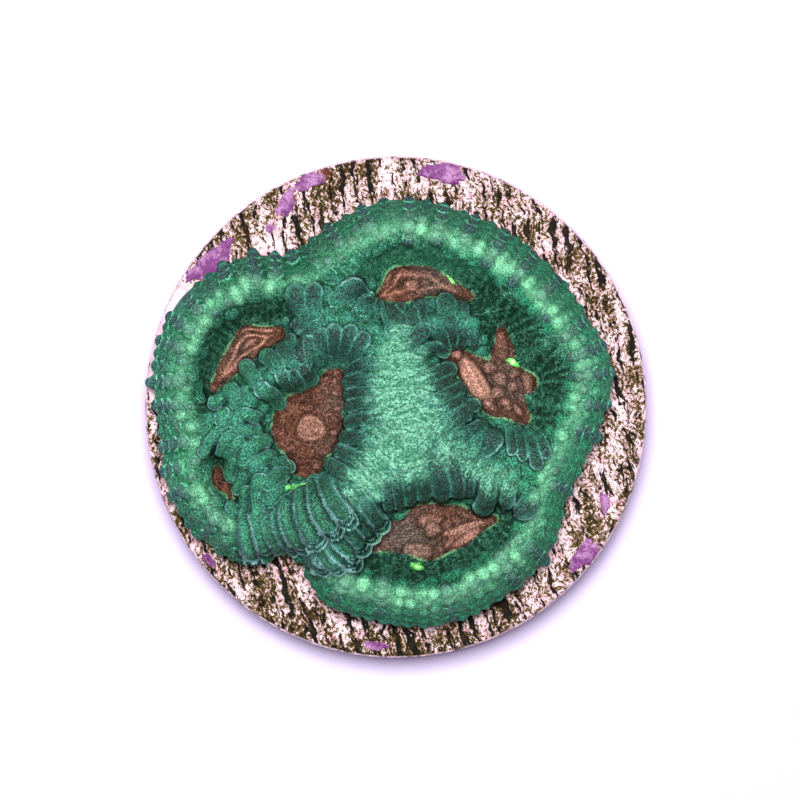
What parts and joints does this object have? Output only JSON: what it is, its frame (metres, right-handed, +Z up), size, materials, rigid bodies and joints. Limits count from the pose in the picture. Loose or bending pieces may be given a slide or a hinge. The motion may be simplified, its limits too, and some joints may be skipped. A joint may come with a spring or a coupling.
{
  "type": "brain coral",
  "caption": "Live brain coral colony with winding fleshy valleys and beaded walls, grown on a round wire-cut ceramic disc with coralline algae crusts.",
  "frame": {"origin": "middle of the disc's flat underside", "axes": "+Z up out of the disc through the coral; the colony's two notches are on the -X side, one towards +Y and one towards -Y"},
  "size_m": [0.05, 0.05, 0.0162],
  "materials": {
    "ceramic": "rough unglazed wire-cut ceramic, stained brown and olive in its furrows",
    "coral_flesh": "wet fleshy tissue, green with mint crests, grey-purple beads and brown mouths",
    "coralline": "chalky purple coralline algae crust"
  },
  "bodies": {
    "root": {"ceramic_disc": "ceramic", "coral_colony": "coral_flesh", "coralline_crust_west": "coralline", "coralline_crust_northwest": "coralline", "coralline_crust_speck": "coralline", "coralline_crust_northwest_rim": "coralline", "coralline_crust_north": "coralline", "coralline_crust_southeast": "coralline", "coralline_crust_east": "coralline", "coralline_crust_south_rim": "coralline", "coralline_crust_southwest": "coralline"}
  },
  "joints": []
}
